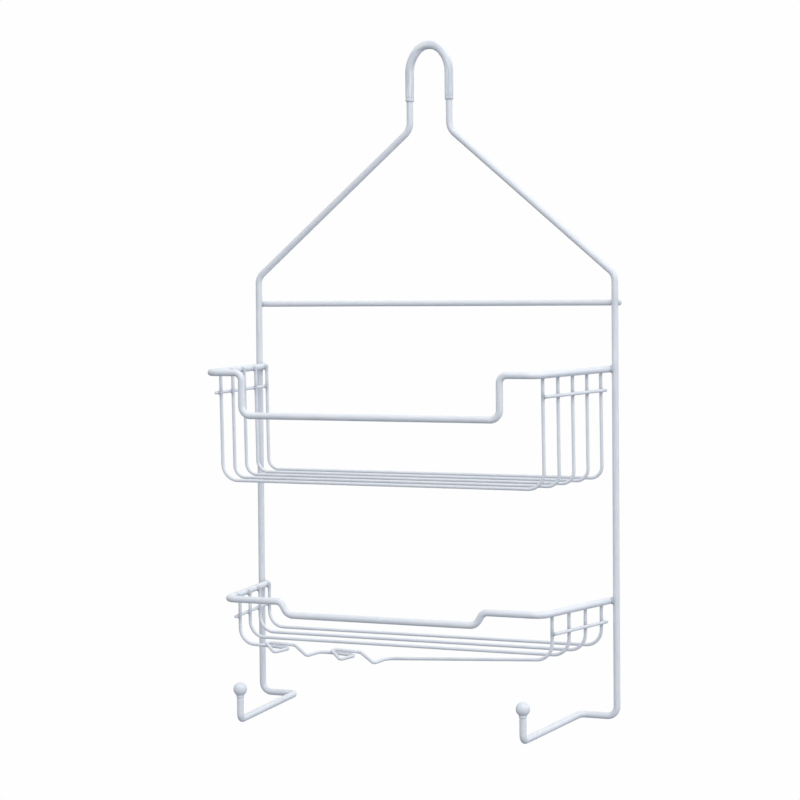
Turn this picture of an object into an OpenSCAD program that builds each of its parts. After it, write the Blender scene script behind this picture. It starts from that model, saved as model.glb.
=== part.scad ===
// Hanging wire shower caddy: one bent main wire, two welded wire baskets, a crossbar,
// a soft sleeve on the hook loop and a ball cap on each of the two lower hooks.
// Millimetres. +X is the caddy's right as seen from the front, the front is -Y, up is +Z.
// The origin is the top of the hook loop's inside, where a shower arm bears on the sleeve.

/* [Wire] */
// Diameter of the coated main wire and of both basket rims
heavy_d = 5.0; // [4:0.1:7]
// Diameter of the coated basket wires and braces
thin_d = 2.5; // [2:0.1:3.5]
// Diameter of the coated crossbar
crossbar_d = 4.5; // [3.5:0.1:6.5]
// Depth that two welded wires sink into each other
weld_bite = 0.15; // [0.1:0.01:0.2]

/* [Frame] */
// Distance between the centrelines of the two uprights
frame_w = 290; // [235:1:360]
// Height from the loop's top centreline to the lower hooks' centreline
frame_h = 497; // [410:1:620]
// Drop from the loop's top centreline to the shoulders
shoulder_drop = 173.5; // [140:0.5:205]
// Bend radius of the shoulders
shoulder_r = 10; // [6:0.5:18]
// Drop from the loop's top centreline to the crossbar
crossbar_drop = 194; // [186:1:230]
// How far each end of the crossbar stands past its upright
crossbar_over = 1.2; // [0:0.1:6]

/* [Hook loop] */
// Distance between the centrelines of the two neck legs
loop_w = 32; // [27:0.5:42]
// Bend radius of each side of the loop, below its crown
loop_side_r = 24; // [18:0.5:32]
// Angle turned by each side bend, in degrees
loop_side_turn = 40; // [25:1:50]
// Drop from the loop's top centreline to the neck bends
neck_drop = 63.2; // [58:0.1:90]
// Bend radius of the neck
neck_r = 12; // [8:0.5:20]
// Outside diameter of the sleeve
sleeve_d = 6.6; // [5.8:0.1:9]
// Drop from the loop's top centreline to the sleeve's left end
sleeve_drop_left = 42; // [34:0.5:50]
// Drop from the loop's top centreline to the sleeve's right end
sleeve_drop_right = 41.5; // [34:0.5:50]

/* [Upper basket] */
// Drop from the loop's top centreline to the upper rim
upper_rim_drop = 242.5; // [225:0.5:290]
// Depth of the upper rim, from the uprights to its front
upper_depth = 118; // [92:0.5:142]
// Angle by which each arm of the upper rim closes in towards the front
upper_taper = 6.5; // [0:0.5:10]
// Height of the upper basket, from its rim to its floor wires
upper_basket_h = 79.6; // [60:0.1:96]
// Distance that the middle of the upper rim's front drops
upper_dip = 30.8; // [24:0.1:45]
// Distance from the rim's corner to the start of that drop
upper_dip_inset = 27.3; // [23:0.1:40]
// Distance from the rim's front back to the first basket wire
upper_wire_inset = 16.5; // [12:0.5:22]
// How far the floor of the upper basket stands behind its rim
upper_lean = 2.4; // [0:0.1:4]

/* [Lower basket] */
// Height of the lower rim's back above the lower hooks
lower_rim_up = 85; // [72:0.5:110]
// Depth of the lower rim, from the uprights to its front
lower_depth = 99.5; // [80:0.5:125]
// Angle by which each arm of the lower rim closes in towards the front
lower_taper = 9.75; // [0:0.25:12]
// Rise of the lower rim's front above its back
lower_rise = 2.5; // [0:0.5:6]
// Height of the lower basket, from its rim's back to its floor wires
lower_basket_h = 32.4; // [27:0.1:42]
// Distance that the middle of the lower rim's front drops
lower_dip = 9.6; // [9.2:0.1:16]
// Distance from the rim's corner to the middle of that drop
lower_dip_inset = 46.8; // [36:0.1:60]
// Distance from the rim's front back to the first basket wire
lower_wire_inset = 20.5; // [15:0.5:26]

/* [Razor loops] */
// Distance between the points of neighbouring loops
razor_pitch = 26.5; // [23:0.5:32]
// How far the loops stand forward of the front wire
razor_reach = 20.4; // [18:0.1:26]
// Distance from the left bend to the first loop
razor_start = 8.8; // [6:0.1:20]
// How far the front wire sags at its lowest place
front_wire_sag = 5.7; // [0:0.1:8]
// How much lower the left end of the front wire is than its middle, and how much higher its right end
front_wire_tilt = 0.8; // [0:0.1:1.5]
// Clear gap where the wire passes over itself
razor_gap = 0.2; // [0.1:0.05:0.6]

/* [Lower hooks] */
// Length of each hook's inward run, from the upright's centreline
hook_inward = 28; // [22:0.5:40]
// Further inward shift of each hook's point
hook_splay = 7; // [0:0.5:12]
// Length of each hook from back to front
hook_reach = 104.5; // [80:0.5:125]
// Height of each hook's ball centre above its run
hook_rise = 22.5; // [16:0.1:30]
// Diameter of the ball caps
ball_d = 10; // [8:0.5:14]

/* [Hidden] */
$fn = 48;

coat_colour = [0.93, 0.94, 0.97];
sleeve_colour = [0.88, 0.90, 0.94];

heavy_r = heavy_d / 2;
thin_r = thin_d / 2;
crossbar_r = crossbar_d / 2;
half_w = frame_w / 2;
loop_half = loop_w / 2;
sleeve_r = sleeve_d / 2;

// Bend radii that the forming tools give
hook_corner_r = 7.5;
hook_turn_r = 5;
hook_point_r = 4.5;
rim_corner_r = 9;
upper_dip_top_r = 5.5;
upper_dip_foot_r = 7;
lower_dip_top_r = 6;
lower_dip_foot_r = 8;
lower_dip_slope = 60;
basket_corner_r = 12;
upper_back_corner_r = 9;
razor_tip_r = 1.6;
razor_base_r = 2.6;
razor_turn_r = 4.2;
razor_rest_r = 6;

// Heights of the main levels
loop_top_z = sleeve_r;
neck_z = loop_top_z - neck_drop;
shoulder_z = loop_top_z - shoulder_drop;
crossbar_z = loop_top_z - crossbar_drop;
hook_z = loop_top_z - frame_h;
upper_rim_z = loop_top_z - upper_rim_drop;
lower_rim_z = hook_z + lower_rim_up;
upper_floor_z = upper_rim_z - upper_basket_h;
lower_floor_z = lower_rim_z - lower_basket_h;

// How far a basket wire's end stands above the rim's centreline, and the braces hang below it
wire_stand = heavy_r - 0.9;
brace_drop = 15.3;
// How far a brace runs past its last wire at one end, and where the last basket wire stands
brace_over = 3.3;
back_wire_y = -6.3;
upper_count = 5;
lower_count = 4;

// Clearance between the main wire and the sleeve or a ball cap's bore
sleeve_clear = 0.03;
cap_clear = 0.03;
// Ball caps: how deep the wire reaches past the ball's centre, and the cap's tapered neck
ball_bore_over = 1.2;
ball_neck_len = 2.2;
ball_neck_wall = 0.45;

// ---- A bent round wire: straight runs that end inside true round bends ----

// How much thicker the coat is on a bend or a rounded end, and how far a run laps into it
coat_step = 0.012;
lap = 0.15;

function unit(v) = v / norm(v);

// Two unit vectors square to v
function side_a(v) = unit(cross(v, abs(v[2]) < 0.8 ? [0, 0, 1] : [1, 0, 0]));
function side_b(v) = cross(v, side_a(v));

function turn_at(pts, i) =
    let (u = unit(pts[i] - pts[i - 1]), v = unit(pts[i + 1] - pts[i])) acos(max(-1, min(1, u * v)));

// Length that the bend at point i takes from the run on either side of it
function trim_at(pts, radii, i) = radii[i] * tan(turn_at(pts, i) / 2);

module place(origin, x, y, z) {
    multmatrix([[x[0], y[0], z[0], origin[0]],
                [x[1], y[1], z[1], origin[1]],
                [x[2], y[2], z[2], origin[2]],
                [0, 0, 0, 1]]) children();
}

module straight(from, to, r) {
    along = unit(to - from);
    place(from, side_a(along), side_b(along), along) cylinder(r = r, h = norm(to - from));
}

module bend(pts, radii, i, r) {
    u = unit(pts[i] - pts[i - 1]);
    v = unit(pts[i + 1] - pts[i]);
    turn = turn_at(pts, i);
    centre = pts[i] + unit(v - u) * radii[i] / cos(turn / 2);
    out = unit(pts[i] - u * trim_at(pts, radii, i) - centre);
    place(centre, out, u, cross(out, u))
        rotate_extrude(angle = turn) translate([radii[i], 0]) circle(r = r + coat_step);
}

// The rounded end that the coating gives a cut wire, reaching r past the point at along dir
module rounded_end(at, dir, r) {
    place(at, side_a(dir), side_b(dir), dir)
        rotate_extrude() intersection() {
            circle(r = r + coat_step);
            square(r + coat_step);
        }
}

// A wire through pts, where each inner point has a bend radius. Its ends are rounded or cut flat.
module wire(pts, radii, r, rounded = true) {
    last = len(pts) - 1;
    end_len = rounded ? r + coat_step : 0;
    for (i = [0:last - 1]) {
        along = unit(pts[i + 1] - pts[i]);
        from_trim = i == 0 ? end_len : trim_at(pts, radii, i);
        to_trim = i + 1 == last ? end_len : trim_at(pts, radii, i + 1);
        from_lap = i > 0 || rounded ? lap : 0;
        to_lap = i + 1 < last || rounded ? lap : 0;
        straight(pts[i] + along * (from_trim - from_lap), pts[i + 1] - along * (to_trim - to_lap), r);
    }
    if (last > 1) for (i = [1:last - 1]) bend(pts, radii, i, r);
    if (rounded) {
        first_dir = unit(pts[0] - pts[1]);
        last_dir = unit(pts[last] - pts[last - 1]);
        rounded_end(pts[0] - first_dir * end_len, first_dir, r);
        rounded_end(pts[last] - last_dir * end_len, last_dir, r);
    }
}

function mirrored(p) = [-p[0], p[1], p[2]];
function reversed(list) = [for (i = [len(list) - 1:-1:0]) list[i]];
// A path's left half followed by its mirror image
function both_sides(left) = concat(left, [for (p = reversed(left)) mirrored(p)]);
function both_radii(left) = concat(left, reversed(left));

// ---- Main wire, with the hook loop on top and a forward hook at each foot ----

// The crown bend closes the loop between its two side bends, with a short run on either side
crown_run = 0.6;
crown_r = (loop_half - loop_side_r * (1 - cos(loop_side_turn)) - crown_run * sin(loop_side_turn))
    / cos(loop_side_turn);
crown_rise = crown_r / sin(loop_side_turn) - crown_r;
loop_apex = [0, 0, loop_top_z + crown_rise];
loop_side_z = loop_apex[2] - loop_half / tan(loop_side_turn);

hook_x = half_w - hook_inward;
ball_x = hook_x - hook_splay;
ball_z = hook_z + hook_rise;

frame_left = [
    [-ball_x, -hook_reach, ball_z + ball_bore_over],
    [-ball_x, -hook_reach, hook_z],
    [-hook_x, 0, hook_z],
    [-half_w, 0, hook_z],
    [-half_w, 0, shoulder_z],
    [-loop_half, 0, neck_z],
    [-loop_half, 0, loop_side_z]];
frame_left_r = [0, hook_point_r, hook_turn_r, hook_corner_r, shoulder_r, neck_r, loop_side_r];

module main_frame() {
    color(coat_colour)
        wire(concat(frame_left, [loop_apex], [for (p = reversed(frame_left)) mirrored(p)]),
             concat(frame_left_r, [crown_r], reversed(frame_left_r)), heavy_r, false);
}

module loop_run(r, over) {
    left_end = [-loop_half, 0, loop_top_z - sleeve_drop_left - over];
    left_side = [-loop_half, 0, loop_side_z];
    right_end = [loop_half, 0, loop_top_z - sleeve_drop_right - over];
    wire([left_end, left_side, loop_apex, mirrored(left_side), right_end],
         [0, loop_side_r, crown_r, loop_side_r, 0], r, false);
}

module hook_sleeve() {
    color(sleeve_colour) difference() {
        loop_run(sleeve_r, 0);
        loop_run(heavy_r + sleeve_clear, 1);
    }
}

// A ball cap pushed onto a hook's upturned end, with a blind bore for the wire
module ball_cap(x) {
    ball_r = ball_d / 2;
    neck_top_r = heavy_r + ball_neck_wall;
    neck_z0 = -sqrt(ball_r * ball_r - pow(neck_top_r + 0.6, 2));
    color(coat_colour) translate([x, -hook_reach, ball_z]) difference() {
        union() {
            sphere(r = ball_r);
            translate([0, 0, neck_z0 - ball_neck_len])
                cylinder(r1 = neck_top_r, r2 = neck_top_r + 0.6, h = ball_neck_len);
        }
        translate([0, 0, -ball_r - ball_neck_len - 1])
            cylinder(r = heavy_r + cap_clear, h = ball_r + ball_neck_len + 1 + ball_bore_over);
    }
}

module crossbar() {
    y = heavy_r + crossbar_r - weld_bite;
    reach = half_w + heavy_r + crossbar_over;
    color(coat_colour)
        wire([[-reach, y, crossbar_z], [reach, y, crossbar_z]], [0, 0], crossbar_r);
}

// ---- Baskets ----

// Half the width between the arms of a rim at the uprights, and at any place y in front of them
function rim_back_half(taper) = half_w - (2 * heavy_r - weld_bite) / cos(taper);
function rim_half(taper, y) = rim_back_half(taper) + y * tan(taper);
// Half the width between the two sides of the basket wire at y
function wire_half(taper, y) = rim_half(taper, y) - (heavy_r + thin_r - weld_bite) / cos(taper);

module rim(depth, taper, z, rise, dip, dip_inset, dip_slope, dip_top_r, dip_foot_r) {
    front_half = rim_half(taper, -depth);
    back_y = heavy_r;
    front_z = z + rise;
    dip_x = front_half - dip_inset;
    dip_run = dip / tan(dip_slope) / 2;
    left = [
        [-rim_half(taper, back_y), back_y, z - rise * back_y / depth],
        [-front_half, -depth, front_z],
        [-dip_x - dip_run, -depth, front_z],
        [-dip_x + dip_run, -depth, front_z - dip]];
    color(coat_colour)
        wire(both_sides(left), both_radii([0, rim_corner_r, dip_top_r, dip_foot_r]), heavy_r);
}

module upper_rim() {
    rim(upper_depth, upper_taper, upper_rim_z, 0,
        upper_dip, upper_dip_inset, 90, upper_dip_top_r, upper_dip_foot_r);
}

module lower_rim() {
    rim(lower_depth, lower_taper, lower_rim_z, lower_rise,
        lower_dip, lower_dip_inset, lower_dip_slope, lower_dip_top_r, lower_dip_foot_r);
}

// Place of the basket wire with the given number, 1 at the front
function wire_y(depth, inset, count, number) =
    let (front = inset - depth) front + (back_wire_y - front) * (number - 1) / (count - 1);
function upper_y(number) = wire_y(upper_depth, upper_wire_inset, upper_count, number);
function lower_y(number) = wire_y(lower_depth, lower_wire_inset, lower_count, number);
function lower_arm_z(y) = lower_rim_z - lower_rise * y / lower_depth;

// A basket wire whose sides pass the rim at arm_z and whose floor leans back
module u_wire(half, y, arm_z, floor_z, lean, corner_r) {
    slope = lean / (arm_z - floor_z);
    color(coat_colour)
        wire(both_sides([[-half, y - slope * wire_stand, arm_z + wire_stand],
                         [-half, y + lean, floor_z]]),
             both_radii([0, corner_r]), thin_r);
}

module upper_wire(number) {
    y = upper_y(number);
    u_wire(wire_half(upper_taper, y), y, upper_rim_z, upper_floor_z, upper_lean,
           number == 1 ? basket_corner_r : upper_back_corner_r);
}

module lower_wire(number) {
    y = lower_y(number);
    u_wire(wire_half(lower_taper, y), y, lower_arm_z(y), lower_floor_z, 0, basket_corner_r);
}

// The front wire of the lower basket bends forward into two pairs of razor loops. In each pair
// the first loop closes on itself: the wire goes out at its right side, comes back on a slant
// and passes over itself, then runs on to the second, open loop and comes straight back.
razor_flat = 24.4;
razor_tip_shift = 17.4;
razor_closed_lean = 3.2;
razor_open_lean = 1;
front_y = lower_y(1);
front_half = wire_half(lower_taper, front_y);
razor_x = -front_half + basket_corner_r + razor_start;
razor_low_x = razor_x + 4 * razor_pitch - 10;

function front_wire_z(x) =
    let (span = x < razor_low_x ? razor_low_x + front_half : front_half - razor_low_x)
    lower_floor_z - front_wire_sag * (1 - abs(x - razor_low_x) / span) + front_wire_tilt * x / front_half;

// The wire's corner at one side of the basket. side is -1 for left, 1 for right.
function razor_corner(side) = [side * front_half, front_y, front_wire_z(side * front_half)];

function razor_point(x, forward, raised) =
    [x, front_y - forward, front_wire_z(x) + raised * (thin_d + razor_gap)];

function razor_pair(x) =
    let (closed_tip = x + razor_tip_shift, open_tip = closed_tip + razor_pitch) [
        razor_point(closed_tip + razor_closed_lean, 0, 0),
        razor_point(closed_tip, razor_reach, 0),
        razor_point(x, 0, 1),
        razor_point(x + razor_flat, 0, 1),
        razor_point(open_tip, razor_reach, 0),
        razor_point(open_tip + razor_open_lean, 0, 0)];
razor_pair_r = [razor_turn_r, razor_tip_r, razor_base_r, razor_rest_r, razor_tip_r, razor_rest_r];

module razor_wire() {
    top = lower_arm_z(front_y) + wire_stand;
    color(coat_colour)
        wire(concat([[-front_half, front_y, top], razor_corner(-1)],
                    razor_pair(razor_x), razor_pair(razor_x + 2 * razor_pitch),
                    [razor_corner(1), [front_half, front_y, top]]),
             concat([0, basket_corner_r], razor_pair_r, razor_pair_r, [basket_corner_r, 0]),
             thin_r);
}

// A straight brace outside the basket wires of one side. side is -1 for left, 1 for right.
module brace(side, taper, front, back, z_front, z_back) {
    out = (thin_d - weld_bite) / cos(taper);
    color(coat_colour)
        wire([[side * (wire_half(taper, front) + out), front, z_front],
              [side * (wire_half(taper, back) + out), back, z_back]], [0, 0], thin_r);
}

module upper_brace(side) {
    front = upper_y(1) - thin_r - (side < 0 ? brace_over : 0);
    back = upper_y(upper_count) + thin_r + (side > 0 ? brace_over : 0);
    z = upper_rim_z - brace_drop;
    brace(side, upper_taper, front, back, z, z);
}

module lower_brace(side) {
    front = lower_y(1) - thin_r - (side < 0 ? brace_over : 0);
    back = lower_y(lower_count) + thin_r + (side > 0 ? brace_over : 0);
    brace(side, lower_taper, front, back,
          lower_arm_z(front) - brace_drop, lower_arm_z(back) - brace_drop);
}

main_frame();
hook_sleeve();
ball_cap(-ball_x);  // ball_tip_left
ball_cap(ball_x);  // ball_tip_right
crossbar();
upper_rim();
upper_wire(1);  // upper_wire_1
upper_wire(2);  // upper_wire_2
upper_wire(3);  // upper_wire_3
upper_wire(4);  // upper_wire_4
upper_wire(5);  // upper_wire_5
upper_brace(-1);  // upper_brace_left
upper_brace(1);  // upper_brace_right
lower_rim();
razor_wire();  // lower_wire_1
lower_wire(2);  // lower_wire_2
lower_wire(3);  // lower_wire_3
lower_wire(4);  // lower_wire_4
lower_brace(-1);  // lower_brace_left
lower_brace(1);  // lower_brace_right
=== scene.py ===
"""A hanging shower caddy of vinyl-coated wire, built over its CAD frame.

One bent main wire makes the hook loop, the shoulders, the uprights and the two lower hooks. It
carries a crossbar and two welded baskets, a soft sleeve on the loop and a ball cap on each hook.
Sizes are in millimetres until a mesh is made. +X is the caddy's right seen from the front, the
front is -Y and up is +Z. The origin is the top of the hook loop's inside.
"""

import logging
import math
from dataclasses import dataclass, field
from enum import Enum
from typing import Iterable, Optional, Sequence

import bpy
import numpy as np
from mathutils import Matrix, Vector


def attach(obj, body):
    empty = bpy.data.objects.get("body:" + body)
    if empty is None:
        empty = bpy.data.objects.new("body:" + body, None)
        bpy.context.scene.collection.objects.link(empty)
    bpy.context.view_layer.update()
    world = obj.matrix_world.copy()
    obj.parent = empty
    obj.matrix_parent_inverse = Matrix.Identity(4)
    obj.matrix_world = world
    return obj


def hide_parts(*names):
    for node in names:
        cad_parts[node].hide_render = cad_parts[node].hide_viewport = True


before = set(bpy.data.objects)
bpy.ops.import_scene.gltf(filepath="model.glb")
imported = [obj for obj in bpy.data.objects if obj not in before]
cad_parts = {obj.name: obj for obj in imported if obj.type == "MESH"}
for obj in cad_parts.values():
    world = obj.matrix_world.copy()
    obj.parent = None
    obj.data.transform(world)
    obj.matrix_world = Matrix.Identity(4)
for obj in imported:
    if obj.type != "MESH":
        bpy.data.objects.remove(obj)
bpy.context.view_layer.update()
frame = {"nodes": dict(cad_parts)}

log = logging.getLogger("shower_caddy")

MM = 0.001
UP = np.array([0.0, 0.0, 1.0])
# A direction that no run of any wire follows, from which every ring of a wire is turned
RING_REFERENCE = np.array([1.0, 1.0, 1.0]) / math.sqrt(3.0)
# Angle by which one wire's waves are shifted from the next one's, in radians
GOLDEN_ANGLE = 2.399963
# Distance by which one wire's clouds are shifted from the next one's, in mm
CLOUD_SHIFT = 37.0
# Angles from its pole of the rings that round off a wire's tip, in degrees
TIP_ANGLES = np.linspace(9, 90, 10)
# Length at each tip that only those rings cover, as a share of the wire's radius
TIP_SHARE = 1.05
# The span that most of a noise's values lie in
NOISE_SPAN = (0.3, 0.7)
# How strongly a noise's finer layers show
NOISE_ROUGHNESS = 0.55

Colour = tuple[float, float, float]
Point = tuple[float, float, float]


class Side(Enum):
    """A side of the caddy, with the sign of its X."""

    LEFT = -1
    RIGHT = 1


class Slot(Enum):
    """The record's material slots."""

    WIRE = "coated_wire"
    SLEEVE = "sleeve_vinyl"
    CAP = "cap_plastic"


# ---------------------------------------------------------------- surfaces


def unit(v: np.ndarray) -> np.ndarray:
    """Vectors scaled to length one along the last axis.

    Args:
        v: One vector or an array of them.

    Returns:
        The same array with each vector divided by its length.
    """
    v = np.asarray(v, float)
    return v / np.linalg.norm(v, axis=-1, keepdims=True)


@dataclass
class Surface:
    """A closed surface in millimetres.

    Args:
        points: Vertex places, n by 3.
        quads: Vertex numbers of the four-sided faces.
        triangles: Vertex numbers of the three-sided faces.
        laid: Each vertex's place on the piece as if its wire lay straight, n by 3.
        painted_shade: Painted shade at each vertex, from 0 to 1, set by how near it is to a weld.
    """

    points: np.ndarray
    quads: np.ndarray
    triangles: np.ndarray
    laid: np.ndarray
    painted_shade: np.ndarray

    @staticmethod
    def joined(parts: Sequence["Surface"]) -> "Surface":
        """Several surfaces as one, each with its vertex numbers moved past the ones before.

        Args:
            parts: The surfaces to join.

        Returns:
            One surface that holds them all.
        """
        starts = np.cumsum([0] + [len(p.points) for p in parts[:-1]])
        return Surface(
            np.vstack([p.points for p in parts]),
            np.vstack([p.quads + n for p, n in zip(parts, starts)]),
            np.vstack([p.triangles + n for p, n in zip(parts, starts)]),
            np.vstack([p.laid for p in parts]),
            np.concatenate([p.painted_shade for p in parts]),
        )

    def with_painted_shade(self, welds: Sequence["Weld"], reach: float) -> "Surface":
        """Paints shade on the surface where it comes near welds.

        The painted shade is the largest exp(-(d / reach)^2) over the welds, where d is the distance
        from the vertex to the weld.

        Args:
            welds: The welds near this surface.
            reach: Distance at which the painted shade has faded to about a third, in mm.

        Returns:
            This surface with its painted shade set.
        """
        if welds:
            places = np.array([w.place for w in welds])
            gaps = np.linalg.norm(self.points[:, None, :] - places[None], axis=2)
            # painted shade: darker near each weld, standing in for the contact shadows there
            self.painted_shade = np.exp(-((gaps / reach) ** 2)).max(axis=1)
        return self


def ring_quads(rows: int, columns: int, closed: bool = False) -> np.ndarray:
    """Quads of a grid whose columns run round a ring.

    Vertex (i, j) is number i * columns + j, and each quad goes round the ring before it goes
    along, so it faces outwards where the rows run along the ring's axis.

    Args:
        rows: How many rings.
        columns: How many vertices in a ring.
        closed: Whether the last ring joins the first.

    Returns:
        Vertex numbers, one row of four per quad.
    """
    i = np.arange(rows if closed else rows - 1)[:, None]
    j = np.arange(columns)[None, :]
    after_i, after_j = (i + 1) % rows, (j + 1) % columns
    corners = [
        i * columns + j,
        i * columns + after_j,
        after_i * columns + after_j,
        after_i * columns + j,
    ]
    return np.stack(corners, axis=-1).reshape(-1, 4)


def pole_triangles(rows: int, columns: int) -> np.ndarray:
    """Triangles that close both ends of a ring grid onto two poles.

    The poles are the two vertices after the grid: the first ring's, then the last ring's.

    Args:
        rows: How many rings.
        columns: How many vertices in a ring.

    Returns:
        Vertex numbers, one row of three per triangle.
    """
    j = np.arange(columns)
    after = (j + 1) % columns
    first, last = rows * columns, rows * columns + 1
    end = (rows - 1) * columns
    start_fan = np.stack([np.full(columns, first), after, j], axis=1)
    end_fan = np.stack([np.full(columns, last), end + j, end + after], axis=1)
    return np.vstack([start_fan, end_fan])


def capped(rings: np.ndarray, first: np.ndarray, last: np.ndarray, laid: np.ndarray) -> Surface:
    """A ring grid closed by a pole at either end.

    Args:
        rings: Vertex places, rows by columns by 3.
        first: Place of the pole before the first ring.
        last: Place of the pole after the last ring.
        laid: Straightened places of the same grid.

    Returns:
        The closed surface.
    """
    rows, columns = rings.shape[:2]
    return Surface(
        np.vstack([rings.reshape(-1, 3), first, last]),
        ring_quads(rows, columns),
        pole_triangles(rows, columns),
        np.vstack([laid.reshape(-1, 3), laid[0].mean(0), laid[-1].mean(0)]),
        np.zeros(rows * columns + 2),
    )


def revolved(centre: Point, radii: np.ndarray, heights: np.ndarray, sides: int) -> Surface:
    """A profile turned about a vertical axis, from a pole at its top to a pole at its end.

    A vertex is centre + (r cos a, -r sin a, h), so the rings face outwards going down.

    Args:
        centre: The axis's zero point.
        radii: Distance of each profile point from the axis. The first and last are poles.
        heights: Height of each profile point above the centre.
        sides: Vertices in a ring.

    Returns:
        The closed surface.
    """
    angle = np.linspace(0, 2 * math.pi, sides, endpoint=False)[None, :]
    r, h = radii[1:-1, None], heights[1:-1, None]
    rings = np.stack([r * np.cos(angle), -r * np.sin(angle), h + 0 * angle], axis=-1)
    middle = np.array(centre, float)
    first = middle + (0, 0, heights[0])
    last = middle + (0, 0, heights[-1])
    return capped(rings + middle, first, last, rings)


# ---------------------------------------------------------------- bent wires


@dataclass(frozen=True)
class Route:
    """A wire's centreline: straight runs between corners, each corner bent to a radius.

    Args:
        corners: The corner points, the first and last being the wire's tips.
        radii: Bend radius at each corner, and 0 at the tips.
    """

    corners: tuple[Point, ...]
    radii: tuple[float, ...]

    def run(self, number: int) -> tuple[np.ndarray, np.ndarray]:
        """A straight run as a point and a direction, counting from 0 or back from -1.

        Args:
            number: Which run.

        Returns:
            The run's first corner and its unit direction.
        """
        p = np.array(self.corners, float)
        starts, ahead = p[:-1], unit(p[1:] - p[:-1])
        return starts[number], ahead[number]

    def points(self, step: float, bend_step: float = 5.0) -> np.ndarray:
        """Points along the centreline.

        On a run they are evenly spaced. On a bend they are centre + r (cos a out + sin a in),
        where in is the run's direction, out points from the bend's centre to its start, and a
        goes from 0 to the angle turned.

        Args:
            step: Longest spacing on a run, in mm.
            bend_step: Largest turn between two points of a bend, in degrees.

        Returns:
            The points, n by 3.
        """
        p = np.array(self.corners, float)
        ahead = unit(p[1:] - p[:-1])
        found, start = [], p[0]
        for i in range(1, len(p)):
            last = i == len(p) - 1
            into, on = ahead[i - 1], ahead[min(i, len(ahead) - 1)]
            turn = 0.0 if last else math.acos(float(np.clip(into @ on, -1, 1)))
            stop = p[i] - into * self.radii[i] * math.tan(turn / 2)
            count = max(2, math.ceil(np.linalg.norm(stop - start) / step))
            along = np.linspace(0, 1, count, endpoint=last)[:, None]
            found.append(start + (stop - start) * along)
            if last:
                break
            centre = p[i] + unit(on - into) * self.radii[i] / math.cos(turn / 2)
            out = unit(stop - centre)
            steps = max(3, math.ceil(math.degrees(turn) / bend_step))
            a = np.linspace(0, turn, steps + 1)[:, None]
            arc = centre + self.radii[i] * (np.cos(a) * out + np.sin(a) * into)
            found.append(arc[:-1])
            start = arc[-1]
        return np.vstack(found)


def both_sides(left: Sequence[Point], middle: Sequence[Point] = ()) -> tuple[Point, ...]:
    """A route's left half, its middle, and the left half's mirror image in reverse.

    Args:
        left: Points of the left half, from its tip inwards.
        middle: Points on the plane between the halves.

    Returns:
        All the points in order.
    """
    return (*left, *middle, *((-x, y, z) for x, y, z in reversed(left)))


@dataclass(frozen=True)
class Coat:
    """How evenly the vinyl coat lies on a wire, never past the wire's full radius.

    Args:
        settle: How far the coat's mean surface lies inside the wire's full radius, in mm.
        wave: Height of the long, shallow waves that dipping leaves, in mm.
        drift: How far the coat hangs to one side of its wire, in mm.
        lengths: Lengths of wire over which the two waves turn by a radian, in mm.
        second: The second wave's height and shift, as shares of the first's.
        twist: Length of wire over which the drift turns by a radian, in mm.
    """

    settle: float = 0.03
    wave: float = 0.018
    drift: float = 0.012
    lengths: tuple[float, float] = (4.7, 1.93)
    second: tuple[float, float] = (0.6, 1.7)
    twist: float = 31.0

    def radius(self, full: float, s: np.ndarray, angle: np.ndarray, seed: int) -> np.ndarray:
        """Coated radius at each place on a wire.

        It is full - settle, plus two sine waves along the wire whose lengths don't divide, plus
        a cosine round the wire that turns slowly along it.

        Args:
            full: The wire's full radius, in mm.
            s: Distance along the wire, rows by 1.
            angle: Angle round the wire, 1 by columns.
            seed: Number that shifts the waves, so no two wires match.

        Returns:
            The radius, rows by columns.
        """
        shift = seed * GOLDEN_ANGLE
        (first, second), (height, ahead) = self.lengths, self.second
        wave = np.sin(s / first + shift) + height * np.sin(s / second + ahead * shift)
        drift = np.cos(angle - s / self.twist - shift)
        return full - self.settle + self.wave * 0.5 * wave + self.drift * drift


def ring_frame(line: np.ndarray) -> tuple[np.ndarray, np.ndarray, np.ndarray, np.ndarray]:
    """Distance, direction and two cross directions at each point of a line.

    The first cross direction is the ring reference less its share along the line, scaled to
    length one, and the second is the direction crossed with the first.

    Args:
        line: The points, n by 3.

    Returns:
        Distances (n), directions, first and second cross directions (each n by 3).
    """
    s = np.concatenate([[0.0], np.cumsum(np.linalg.norm(np.diff(line, axis=0), axis=1))])
    ahead = unit(np.gradient(line, s, axis=0))
    first = unit(RING_REFERENCE - (ahead @ RING_REFERENCE)[:, None] * ahead)
    return s, ahead, first, np.cross(ahead, first)


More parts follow.
